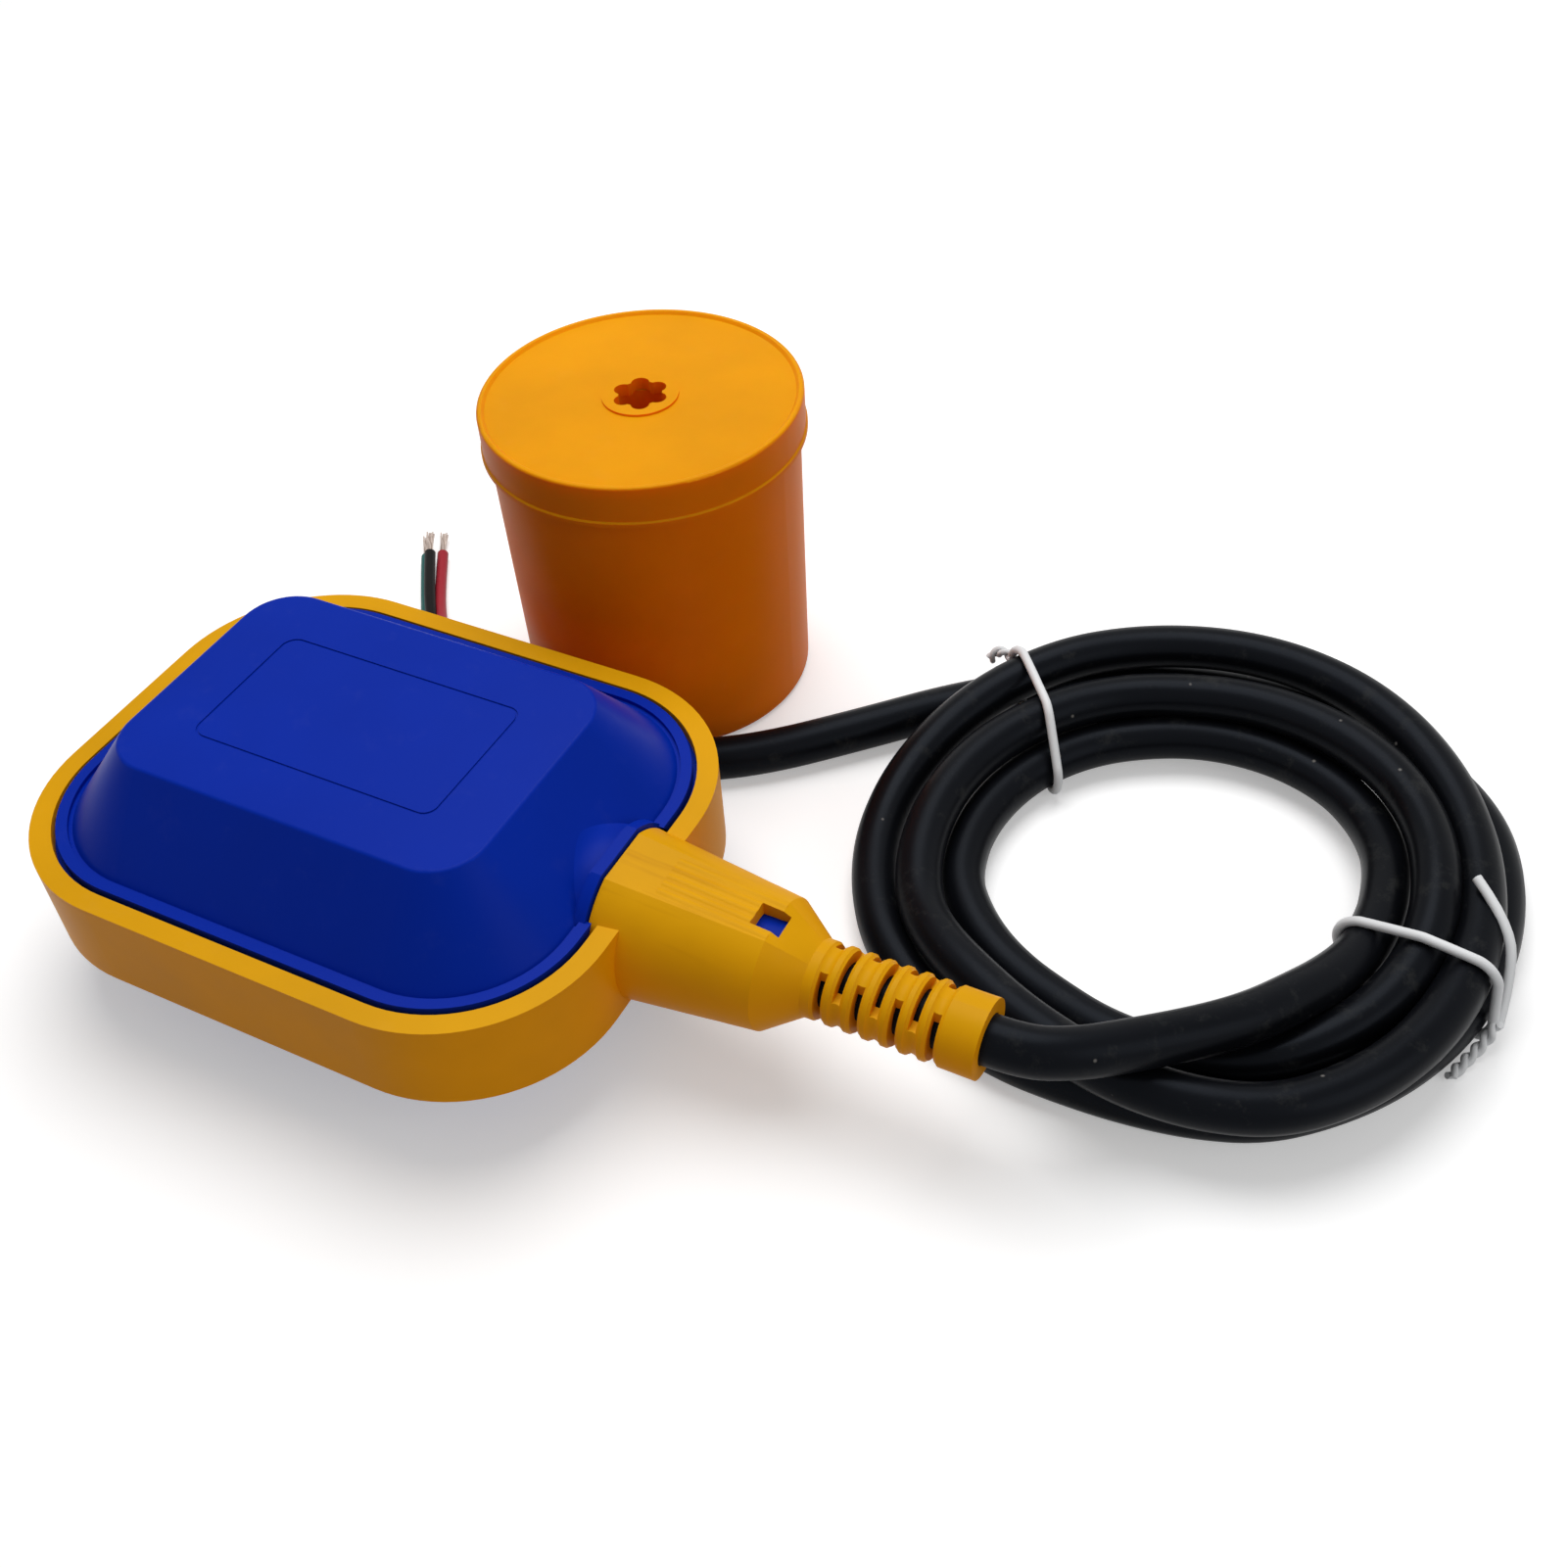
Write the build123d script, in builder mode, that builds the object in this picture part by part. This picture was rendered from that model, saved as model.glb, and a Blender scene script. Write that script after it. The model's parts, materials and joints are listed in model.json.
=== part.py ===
"""Cable float switch: a hollow float on a coiled cable, with its sliding counterweight.

Millimetres. The float lies flat, with its neck along +X, and the counterweight stands behind it.
The origin is under the middle of the float and the counterweight, on the surface they stand on.
"""
import os
from math import atan, cos, degrees, pi, radians, sin, tan

from build123d import *

# Float body
float_length = 102.0
float_width = 80.0
float_thickness = 44.0
corner_radius = 26.0
band_height = 16.0
band_wall = 3.4
shell_wall = 2.2
plateau_inset = 17.8
plateau_edge_round = 0.8
rim_gap = 0.8
rim_gap_depth = 2.2
bead_width = 1.8
bead_rise = 0.7
groove_width = 0.6
panel_length = 45.2
panel_width = 25.2
panel_corner = 2.5
panel_line_width = 0.4
panel_line_depth = 0.2
tongue_width = 0.8
tongue_height = 1.0
joint_clearance = 0.1

# Neck and strain relief
boss_inset = 4.8
boss_end = 72.0
boss_root_radius = 13.2
boss_end_radius = 10.4
boss_flat = 12.2
boss_flat_drop = 2.6
taper_end = 78.0
sleeve_root_radius = 6.1
sleeve_radius = 6.2
sleeve_end = 105.0
root_gap = 0.3
fairing_run = 5.0
fairing_flare = 3.0
window_x = 70.9
window_length = 4.6
window_width = 4.2
ridge_count = 5
ridge_start = 54.0
ridge_pitch = 1.6
ridge_radius = 1.2
ridge_rise = 0.12
slot_count = 7
slot_start_x = 80.6
slot_pitch = 2.95
slot_width = 1.25
slot_bridge = 5.0
valley_radius = 1.5
valley_depth = 0.55
spigot_radius = 7.8
spigot_end = 74.0
spigot_clearance = 0.05

# Cable and its entry
cable_diameter = 7.8
cable_clearance = 0.1
jacket_end = 33.0
grommet_radius = 6.4
grommet_start = 50.0
grommet_length = 9.0
clamp_x = 37.0
clamp_width = 5.0
clamp_thickness = 2.0
clamp_foot = 6.0
clamp_drop = 1.0
clamp_foot_thickness = 2.2
clamp_screw_radius = 1.25
clamp_head_radius = 2.6
screw_head_height = 1.6
screw_bite = 5.0
pilot_clearance = 0.05
core_diameter = 2.3
core_pitch = 2.5
core_bend_x = 30.0
core_drop = 2.0
core_bend_radius = 1.6
grommet_clearance = 0.05
screw_slot_width = 0.8

# Microswitch
switch_front = 4.0
switch_depth = 15.9
switch_thickness = 10.3
switch_cover_thickness = 3.0
switch_hole_radius = 1.6
switch_hole_distance = 22.2
switch_hole_inset = 11.5
switch_hole_edge = 2.8
switch_post_radius = 3.0
switch_screw_radius = 1.3
switch_head_radius = 2.7
button_y = 5.5
button_radius = 1.2
button_clearance = 0.06
button_depth = 4.0
button_rise = 2.6
hinge_x = 2.2
hinge_y = 11.5
hinge_pin_radius = 0.7
pin_clearance = 0.02
lever_clearance = 0.08
lever_length = 23.5
lever_lean = 3.6
lever_thickness = 0.6
lever_half_width = 2.75
lever_ear_thickness = 0.6
lever_ear_radius = 1.5
lug_radius = 1.15
pin_half_length = 3.1
terminal_pitch = 9.0
terminal_width = 4.8
terminal_thickness = 0.8
terminal_length = 6.0
terminal_root = 2.5
terminal_hole_radius = 0.8
terminal_clearance = 0.02
switch_corner = 0.8
lug_half_width = 2.0
lever_strip_start = 2.0
button_travel_room = 1.0

# Ball and its trough
ball_radius = 7.0
ball_clearance = 0.3
trough_side_gap = 0.7
trough_wall = 1.6
trough_floor = 1.8
trough_height = 13.0
trough_start = -31.0
trough_end = -3.0
ball_stop_gap = 0.3

# Counterweight
weight_distance_x = 7.7
weight_distance_y = 76.7
weight_height = 59.4
lid_radius = 28.7
lid_skirt_height = 7.6
lid_top_thickness = 2.4
lid_skirt_wall = 1.0
lid_lip_height = 0.7
lid_lip_rise = 0.3
lid_rim_width = 1.2
lid_dish_depth = 0.5
cup_top_radius = 27.5
cup_foot_radius = 26.6
cup_foot_round = 1.2
cup_wall = 2.2
cup_floor = 2.4
cup_lid_gap = 0.1
tube_wall = 1.8
weight_bore_radius = 4.9
star_ring_radius = 6.7
star_ring_rise = 0.4
star_tip_radius = 3.8
star_lobe_radius = 1.6
star_lobe_pitch = 3.4
star_lobes = 6
ballast_height = 24.0
ballast_clearance = 0.2
ballast_chamfer = 0.8
lid_edge_round = 0.5

# Cable tail from the coil round behind the float, and its three stripped cores
tail_route = (
    (66.0, 82.5),
    (52.6, 68.6),
    (38.0, 54.4),
    (24.0, 46.4),
    (8.0, 42.6),
    (-8.0, 42.4),
    (-21.5, 46.0),
    (-30.5, 53.5),
)
lead_route = (
    (105.0, 0.0, 22.0),
    (110.5, 0.0, 22.0),
    (116.5, 3.2, 21.2),
    (122.0, 8.4, 19.6),
)
tail_height = 4.0
core_routes = {
    "core_black": (
        (-30.5, 53.5, 2.6),
        (-36.0, 60.0, 2.0),
        (-41.6, 67.4, 1.3),
        (-47.4, 76.0, 1.2),
        (-52.6, 84.6, 1.2),
    ),
    "core_red": (
        (-29.7, 54.5, 4.8),
        (-34.0, 61.6, 3.6),
        (-39.4, 69.0, 1.8),
        (-44.9, 77.6, 1.2),
        (-49.6, 86.2, 1.2),
    ),
    "core_green": (
        (-31.3, 52.5, 4.8),
        (-38.0, 58.4, 3.6),
        (-43.9, 65.8, 1.8),
        (-49.9, 74.2, 1.2),
        (-55.6, 82.4, 1.2),
    ),
}
strand_length = 7.0
strand_radius = 0.7
cord_share = 0.45

# Coil of cable and its two ties
coil_x = 117.5
coil_y = 57.0
coil_inner_radius = 29.6
coil_outer_radius = 57.6
coil_height = 15.6
coil_round = 3.8
tie_width = 1.8
tie_thickness = 1.2
tie_angles = {"tie_back": 144.0, "tie_front": 349.0}

# Derived places
mid_z = float_thickness / 2
band_low = mid_z - band_height / 2
band_top = mid_z + band_height / 2
half_length = float_length / 2
cable_radius = cable_diameter / 2
boss_start = half_length - boss_inset
boss_end_flat = boss_flat - boss_flat_drop
weight_reach = weight_distance_y + lid_radius
float_x = -(sleeve_end - half_length) / 2
float_y = -(weight_reach - float_width / 2) / 2
weight_x = float_x + weight_distance_x
weight_y = float_y + weight_distance_y
slope_inset = band_wall + rim_gap + bead_width + groove_width
slope_low = band_top - bead_rise / 2
slope_rise = float_thickness - slope_low
slope_angle = degrees(atan((plateau_inset - slope_inset) / slope_rise))
ball_z = shell_wall + trough_floor + ball_radius + ball_clearance
switch_low = ball_z - switch_thickness / 2
switch_high = ball_z + switch_thickness / 2
screw_x = switch_front + switch_hole_inset
switch_length = switch_hole_distance + 2 * switch_hole_edge
terminal_end = switch_front + switch_depth + terminal_length
tongue_inset = band_wall + (shell_wall - tongue_width) / 2
wall_shift = shell_wall / sin(atan(slope_rise / (plateau_inset - slope_inset)))
cavity_low = slope_low - shell_wall
cavity_inset = slope_inset + wall_shift - shell_wall * tan(radians(slope_angle))
cavity_rise = float_thickness - shell_wall - cavity_low

lever_slope = lever_lean / lever_length
lever_strip = (
    (lever_strip_start * lever_slope, lever_strip_start),
    (lever_lean, lever_length),
    (lever_lean + lever_thickness, lever_length),
    (lever_strip_start * lever_slope + lever_thickness, lever_strip_start),
)
lever_ear = (
    (-lever_ear_radius / 2, 0),
    (lever_ear_radius, 0),
    (lever_strip_start * lever_slope + lever_thickness, 2 * lever_strip_start),
    (lever_strip_start * lever_slope, 2 * lever_strip_start),
)
ball_x = trough_start + trough_wall + ball_stop_gap + ball_radius
trough_half_width = ball_radius + trough_side_gap
cup_top = weight_height - lid_top_thickness - cup_lid_gap
lid_low = weight_height - lid_skirt_height
clamp_post_y = cable_radius + cable_clearance + clamp_thickness + clamp_foot / 2
clamp_post_high = mid_z - clamp_drop
clamp_post_reach = plateau_inset + wall_shift - half_length + clamp_x
clamp_post_low = shell_wall + clamp_post_reach / tan(radians(slope_angle))

os.makedirs("parts", exist_ok=True)


def float_level(height):
    """A level plane on the float's own middle."""
    return Plane(origin=(float_x, float_y, height))


def float_outline(inset, mode=Mode.ADD):
    """The float's rounded outline, moved inwards by the inset."""
    RectangleRounded(
        float_length - 2 * inset, float_width - 2 * inset, corner_radius - inset, mode=mode
    )


def weight_level(height):
    """A level plane on the counterweight's axis."""
    return Plane(origin=(weight_x, weight_y, height))


def neck_section(distance):
    """A plane across the neck: its x runs along +Y and its y runs up."""
    return Plane(origin=(float_x + distance, float_y, mid_z), x_dir=(0, 1, 0), z_dir=(1, 0, 0))


def boss_section(radius, flat, mode=Mode.ADD):
    """The neck's section: round, with a flat above and below."""
    with BuildSketch(mode=Mode.PRIVATE) as section:
        Circle(radius)
        Rectangle(2 * radius, 2 * flat, mode=Mode.INTERSECT)
    add(section.sketch, mode=mode)


def finish(builder, name):
    """Give a finished piece its name and write it."""
    builder.part.label = name
    export_step(builder.part, f"parts/{name}.step")


neck_side = Plane(origin=(float_x, float_y, mid_z), x_dir=(1, 0, 0), z_dir=(0, -1, 0))
neck_axis = Axis((float_x, float_y, mid_z), (1, 0, 0))
weight_side = Plane(origin=(weight_x, weight_y, 0), x_dir=(1, 0, 0), z_dir=(0, -1, 0))
weight_axis = Axis((weight_x, weight_y, 0), (0, 0, 1))
switch_face = Plane(origin=(float_x + switch_front, float_y, ball_z), x_dir=(0, 1, 0), z_dir=(1, 0, 0))
switch_back = switch_face.offset(switch_depth)
ball_side = Plane(origin=(float_x + ball_x, float_y, ball_z), x_dir=(1, 0, 0), z_dir=(0, -1, 0))

# Surround: band, neck and slotted strain relief, one moulding
with BuildPart() as surround:
    with BuildSketch(float_level(band_low)):
        float_outline(0)
        float_outline(band_wall, Mode.SUBTRACT)
    extrude(amount=band_height)
    with BuildSketch(neck_section(boss_start)):
        boss_section(boss_root_radius, boss_flat)
    with BuildSketch(neck_section(boss_end)):
        boss_section(boss_end_radius, boss_end_flat)
    loft()
    with BuildSketch(neck_section(boss_end)):
        boss_section(boss_end_radius, boss_end_flat)
    with BuildSketch(neck_section(taper_end)):
        Circle(sleeve_root_radius)
    loft()
    with BuildSketch(neck_side):
        Polygon(
            (taper_end, 0),
            (sleeve_end, 0),
            (sleeve_end, sleeve_radius),
            (taper_end, sleeve_root_radius),
            align=None,
        )
    revolve(axis=neck_axis)
    # Shallow valleys between the sleeve's ribs, each with a slot on two opposite sides
    for index in range(slot_count):
        slot_x = slot_start_x + index * slot_pitch
        with BuildSketch(neck_side):
            with Locations((slot_x, sleeve_radius - valley_depth + valley_radius)):
                Circle(valley_radius)
        revolve(axis=neck_axis, mode=Mode.SUBTRACT)
        with BuildSketch(neck_section(slot_x)):
            Circle(sleeve_radius + valley_radius)
            if index % 2:
                Rectangle(4 * sleeve_radius, slot_bridge, mode=Mode.SUBTRACT)
            else:
                Rectangle(slot_bridge, 4 * sleeve_radius, mode=Mode.SUBTRACT)
        extrude(amount=slot_width / 2, both=True, mode=Mode.SUBTRACT)
    # Cores of the neck: the capsule's spigot and the cable
    with BuildSketch(neck_section(boss_start)):
        Circle(spigot_radius + spigot_clearance)
    extrude(amount=spigot_end + spigot_clearance - boss_start, mode=Mode.SUBTRACT)
    with BuildSketch(neck_section(spigot_end)):
        Circle(cable_radius + cable_clearance)
    extrude(amount=sleeve_end - spigot_end, mode=Mode.SUBTRACT)
    # Fine lengthwise ridges on the neck's upper flat
    ridge_drop = boss_flat_drop * (ridge_start - boss_start) / (boss_end - boss_start)
    for index in range(ridge_count):
        ridge_y = (index - (ridge_count - 1) / 2) * ridge_pitch
        with BuildSketch(neck_section(ridge_start)):
            with Locations((ridge_y, boss_flat - ridge_drop + ridge_rise - ridge_radius)):
                Circle(ridge_radius)
        with BuildSketch(neck_section(boss_end)):
            with Locations((ridge_y, boss_end_flat + ridge_rise - ridge_radius)):
                Circle(ridge_radius)
        loft()
    # Window that shows the capsule's spigot
    with BuildSketch(float_level(mid_z)):
        with Locations((window_x, 0)):
            Rectangle(window_length, window_width)
    extrude(amount=boss_root_radius, mode=Mode.SUBTRACT)
finish(surround, "surround")


def capsule_half():
    """The upper half of the blue capsule: a dished cover, a fairing to the neck and half a spigot."""
    with BuildPart() as half:
        with BuildSketch(float_level(mid_z)):
            float_outline(band_wall)
        extrude(amount=band_height / 2 - rim_gap_depth)
        with BuildSketch(float_level(mid_z)):
            float_outline(band_wall + rim_gap)
        extrude(amount=slope_low - mid_z)
        # Raised bead along the rim
        with BuildSketch(float_level(slope_low)):
            float_outline(band_wall + rim_gap)
            float_outline(band_wall + rim_gap + bead_width, Mode.SUBTRACT)
        extrude(amount=bead_rise)
        # Sloping sides up to the plateau
        with BuildSketch(float_level(slope_low)):
            float_outline(slope_inset)
        extrude(amount=slope_rise, taper=slope_angle)
        fillet(half.faces().sort_by(Axis.Z)[-1].edges(), plateau_edge_round)
        # Fairing that flares from the neck's root into the slope, with the bead round its end
        fairing_end = boss_start - root_gap
        fairing_start = fairing_end - bead_width - groove_width
        for share in (0, 0.5, 1):
            with BuildSketch(neck_section(fairing_start - share * fairing_run)):
                flare = fairing_flare * share**2
                Ellipse(boss_root_radius + flare, boss_flat + flare)
        loft()
        with BuildSketch(neck_section(fairing_start)):
            boss_section(boss_root_radius, boss_flat)
        extrude(amount=groove_width)
        with BuildSketch(neck_section(fairing_end)):
            boss_section(boss_root_radius + bead_rise, boss_flat + bead_rise)
        extrude(amount=-bead_width)
        # Room for the neck's root
        with BuildSketch(neck_section(fairing_end)):
            boss_section(boss_root_radius + root_gap, boss_flat + root_gap)
        extrude(amount=boss_inset, mode=Mode.SUBTRACT)
        # Hollow inside, with the same wall all over
        with BuildSketch(float_level(mid_z)):
            float_outline(band_wall + shell_wall)
        extrude(amount=cavity_low - mid_z, mode=Mode.SUBTRACT)
        with BuildSketch(float_level(cavity_low)):
            float_outline(cavity_inset)
        extrude(amount=cavity_rise, taper=slope_angle, mode=Mode.SUBTRACT)
        # End wall and spigot inside the neck, bored for the cable and its grommet
        with BuildSketch(neck_section(fairing_end)):
            boss_section(boss_root_radius, boss_flat)
        extrude(amount=-shell_wall)
        with BuildSketch(neck_section(fairing_end)):
            Circle(spigot_radius)
        extrude(amount=spigot_end - fairing_end)
        with BuildSketch(neck_section(jacket_end)):
            Circle(cable_radius + cable_clearance)
        extrude(amount=spigot_end - jacket_end, mode=Mode.SUBTRACT)
        with BuildSketch(neck_section(grommet_start)):
            Circle(grommet_radius)
        extrude(amount=grommet_length, mode=Mode.SUBTRACT)
        split(bisect_by=Plane.XY.offset(mid_z), keep=Keep.TOP)
    return half.part


# Upper shell, with its shallow panel line and a tongue along the joint
with BuildPart() as upper_shell:
    add(capsule_half())
    with BuildSketch(float_level(float_thickness)):
        RectangleRounded(panel_length, panel_width, panel_corner)
        RectangleRounded(
            panel_length - 2 * panel_line_width,
            panel_width - 2 * panel_line_width,
            panel_corner - panel_line_width,
            mode=Mode.SUBTRACT,
        )
    extrude(amount=-panel_line_depth, mode=Mode.SUBTRACT)
    with BuildSketch(float_level(mid_z)):
        float_outline(tongue_inset)
        float_outline(tongue_inset + tongue_width, Mode.SUBTRACT)
        with Locations((half_length, 0)):
            Rectangle(corner_radius, 2 * (boss_root_radius + root_gap), mode=Mode.SUBTRACT)
    extrude(amount=-tongue_height)
finish(upper_shell, "upper_shell")

# Lower shell: groove for the tongue, posts for the switch and the cable clamp, cradle for the cable
with BuildPart() as lower_shell:
    add(mirror(capsule_half(), about=Plane.XY.offset(mid_z)))
    with BuildSketch(float_level(mid_z)):
        float_outline(tongue_inset - joint_clearance)
        float_outline(tongue_inset + tongue_width + joint_clearance, Mode.SUBTRACT)
        with Locations((half_length, 0)):
            Rectangle(
                corner_radius,
                2 * (boss_root_radius + root_gap - joint_clearance),
                mode=Mode.SUBTRACT,
            )
    extrude(amount=-(tongue_height + joint_clearance), mode=Mode.SUBTRACT)
    # Two posts under the microswitch
    with BuildSketch(float_level(shell_wall / 2)):
        with Locations((screw_x, 0)):
            with GridLocations(0, switch_hole_distance, 1, 2):
                Circle(switch_post_radius)
    extrude(amount=switch_low - shell_wall / 2)
    with BuildSketch(float_level(switch_low)):
        with Locations((screw_x, 0)):
            with GridLocations(0, switch_hole_distance, 1, 2):
                Circle(switch_screw_radius + pilot_clearance)
    extrude(amount=-(switch_low - shell_wall), mode=Mode.SUBTRACT)
    # Cradle and two posts for the cable clamp, reaching down to the sloping floor
    with BuildSketch(float_level(clamp_post_low)):
        with Locations((clamp_x, 0)):
            Rectangle(clamp_width, 2 * clamp_post_y + clamp_foot)
    extrude(amount=clamp_post_high - clamp_post_low)
    with BuildSketch(neck_section(clamp_x - clamp_width / 2)):
        Circle(cable_radius + cable_clearance)
    extrude(amount=clamp_width, mode=Mode.SUBTRACT)
    with BuildSketch(float_level(clamp_post_high)):
        with Locations((clamp_x, 0)):
            with GridLocations(0, 2 * clamp_post_y, 1, 2):
                Circle(clamp_screw_radius + pilot_clearance)
    extrude(amount=-(screw_bite + pilot_clearance), mode=Mode.SUBTRACT)
finish(lower_shell, "lower_shell")

# Rubber grommet that seals the cable in the spigot
with BuildPart() as cable_grommet:
    with BuildSketch(neck_section(grommet_start + grommet_clearance)):
        Circle(grommet_radius - grommet_clearance)
        Circle(cable_radius + grommet_clearance, mode=Mode.SUBTRACT)
    extrude(amount=grommet_length - 2 * grommet_clearance)
finish(cable_grommet, "cable_grommet")

# Clamp bar over the cable, with its two feet on the posts
with BuildPart() as cable_clamp:
    with BuildSketch(neck_section(clamp_x - clamp_width / 2)):
        Circle(cable_radius + cable_clearance + clamp_thickness)
        with Locations((0, clamp_post_high - mid_z)):
            Rectangle(
                2 * clamp_post_y + clamp_foot,
                clamp_foot_thickness,
                align=(Align.CENTER, Align.MIN),
            )
            Rectangle(
                4 * clamp_post_y, 4 * cable_radius, align=(Align.CENTER, Align.MAX), mode=Mode.SUBTRACT
            )
        Circle(cable_radius + cable_clearance, mode=Mode.SUBTRACT)
    extrude(amount=clamp_width)
    with BuildSketch(float_level(clamp_post_high)):
        with Locations((clamp_x, 0)):
            with GridLocations(0, 2 * clamp_post_y, 1, 2):
                Circle(clamp_screw_radius + pilot_clearance)
    extrude(amount=clamp_foot_thickness, mode=Mode.SUBTRACT)
finish(cable_clamp, "cable_clamp")


def screw_pair(x, spacing, seat, radius, head_radius, bite):
    """Two pan-head screws whose heads sit at the seat's height and whose shanks go down by the bite."""
    with BuildPart() as pair:
        with BuildSketch(float_level(seat)):
            with Locations((x, 0)):
                with GridLocations(0, spacing, 1, 2):
                    Circle(head_radius)
        extrude(amount=screw_head_height)
        fillet(pair.faces().sort_by(Axis.Z)[-2:].edges(), screw_head_height / 3)
        with BuildSketch(float_level(seat + screw_head_height)):
            with Locations((x, 0)):
                with GridLocations(0, spacing, 1, 2):
                    Rectangle(head_radius, screw_slot_width)
                    Rectangle(screw_slot_width, head_radius)
        extrude(amount=-screw_head_height / 2, mode=Mode.SUBTRACT)
        with BuildSketch(float_level(seat)):
            with Locations((x, 0)):
                with GridLocations(0, spacing, 1, 2):
                    Circle(radius)
        extrude(amount=-bite)
    return pair.part


with BuildPart() as clamp_screws:
    add(
        screw_pair(
            clamp_x,
            2 * clamp_post_y,
            clamp_post_high + clamp_foot_thickness,
            clamp_screw_radius,
            clamp_head_radius,
            clamp_foot_thickness + screw_bite,
        )
    )
finish(clamp_screws, "clamp_screws")

with BuildPart() as switch_screws:
    add(
        screw_pair(
            screw_x,
            switch_hole_distance,
            switch_high,
            switch_screw_radius,
            switch_head_radius,
            switch_thickness + switch_low - shell_wall - pilot_clearance,
        )
    )
finish(switch_screws, "switch_screws")

# Cable where the neck and the capsule hold it
with BuildPart() as cable_in_neck:
    with BuildSketch(neck_section(jacket_end)):
        Circle(cable_radius)
    extrude(amount=sleeve_end - jacket_end)
finish(cable_in_neck, "cable_in_neck")


def inner_core(name, start_y, start_z, end_y):
    """One insulated core from the jacket's end down onto its terminal."""
    terminal_top = ball_z + terminal_thickness / 2 + core_diameter / 2
    with BuildPart() as core:
        with BuildLine():
            FilletPolyline(
                (float_x + jacket_end, float_y + start_y, mid_z + start_z),
                (float_x + core_bend_x, float_y + (start_y + end_y) / 2, mid_z + start_z - core_drop),
                (float_x + core_bend_x, float_y + end_y, terminal_top + core_drop),
                (float_x + terminal_end - terminal_root, float_y + end_y, terminal_top),
                radius=core_bend_radius,
            )
        with BuildSketch(neck_section(jacket_end)):
            with Locations((start_y, start_z)):
                Circle(core_diameter / 2)
        sweep(transition=Transition.ROUND)
    finish(core, name)


core_ring = core_pitch / (2 * cos(pi / 6))
inner_core("inner_core_black", -core_pitch / 2, -core_ring / 2, -terminal_pitch)
inner_core("inner_core_red", 0, core_ring, 0)
inner_core("inner_core_green", core_pitch / 2, -core_ring / 2, terminal_pitch)


def switch_block(low, high):
    """A slice of the microswitch's housing between two heights, with its two mounting holes."""
    with BuildPart() as block:
        with BuildSketch(float_level(low)):
            with Locations((switch_front + switch_depth / 2, 0)):
                Rectangle(switch_depth, switch_length)
        extrude(amount=high - low)
        fillet(block.edges().filter_by(Axis.Z), switch_corner)
        with BuildSketch(float_level(low)):
            with Locations((screw_x, 0)):
                with GridLocations(0, switch_hole_distance, 1, 2):
                    Circle(switch_hole_radius)
        extrude(amount=high - low, mode=Mode.SUBTRACT)
    return block.part


# Microswitch case: hinge lug, button guide and slots for the three terminals
with BuildPart() as switch_case:
    add(switch_block(switch_low, switch_high - switch_cover_thickness))
    with BuildSketch(float_level(ball_z - lug_half_width)):
        with Locations((hinge_x, hinge_y)):
            Circle(lug_radius)
        with Locations((hinge_x, hinge_y)):
            Rectangle(
                switch_front + switch_corner - hinge_x,
                2 * lug_radius,
                align=(Align.MIN, Align.CENTER),
            )
    extrude(amount=2 * lug_half_width)
    with BuildSketch(float_level(ball_z - lug_half_width)):
        with Locations((hinge_x, hinge_y)):
            Circle(hinge_pin_radius + pin_clearance)
    extrude(amount=2 * lug_half_width, mode=Mode.SUBTRACT)
    with BuildSketch(switch_face):
        with Locations((button_y, 0)):
            Circle(button_radius + button_clearance)
    extrude(amount=button_depth + button_travel_room, mode=Mode.SUBTRACT)
    with BuildSketch(switch_back):
        with GridLocations(terminal_pitch, 0, 3, 1):
            Rectangle(
                terminal_width + 2 * terminal_clearance, terminal_thickness + 2 * terminal_clearance
            )
    extrude(amount=-terminal_root, mode=Mode.SUBTRACT)
finish(switch_case, "switch_case")

with BuildPart() as switch_cover:
    add(switch_block(switch_high - switch_cover_thickness, switch_high))
finish(switch_cover, "switch_cover")

# Round button that the lever presses into the case
with BuildPart() as switch_button:
    with BuildSketch(switch_face):
        with Locations((button_y, 0)):
            Circle(button_radius)
    extrude(amount=button_depth)
    with BuildSketch(switch_face):
        with Locations((button_y, 0)):
            Circle(button_radius)
    extrude(amount=-button_rise)
    fillet(switch_button.faces().sort_by(Axis.X)[0].edges(), button_radius / 2)
finish(switch_button, "switch_button")

# Lever: a leaning strip with two ears round the hinge pin
with BuildPart() as switch_lever:
    with BuildSketch(float_level(ball_z - lever_half_width)):
        Polygon(*[(hinge_x - x, hinge_y - y) for x, y in lever_strip], align=None)
    extrude(amount=2 * lever_half_width)
    for side in (-lever_half_width, lever_half_width - lever_ear_thickness):
        with BuildSketch(float_level(ball_z + side)):
            with Locations((hinge_x, hinge_y)):
                Circle(lever_ear_radius)
            Polygon(*[(hinge_x - x, hinge_y - y) for x, y in lever_ear], align=None)
            with Locations((hinge_x, hinge_y)):
                Circle(hinge_pin_radius + lever_clearance, mode=Mode.SUBTRACT)
        extrude(amount=lever_ear_thickness)
finish(switch_lever, "switch_lever")

with BuildPart() as lever_pin:
    with BuildSketch(float_level(ball_z - pin_half_length)):
        with Locations((hinge_x, hinge_y)):
            Circle(hinge_pin_radius)
    extrude(amount=2 * pin_half_length)
finish(lever_pin, "lever_pin")

# Three flat terminals in the back of the case
for name, side in (("terminal_common", -1), ("terminal_closed", 0), ("terminal_open", 1)):
    with BuildPart() as terminal:
        with BuildSketch(float_level(ball_z - terminal_thickness / 2)):
            with Locations((switch_front + switch_depth - terminal_root, side * terminal_pitch)):
                Rectangle(
                    terminal_root + terminal_length, terminal_width, align=(Align.MIN, Align.CENTER)
                )
            with Locations((terminal_end - terminal_width / 2, side * terminal_pitch)):
                Circle(terminal_hole_radius, mode=Mode.SUBTRACT)
        extrude(amount=terminal_thickness)
    finish(terminal, name)

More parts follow.
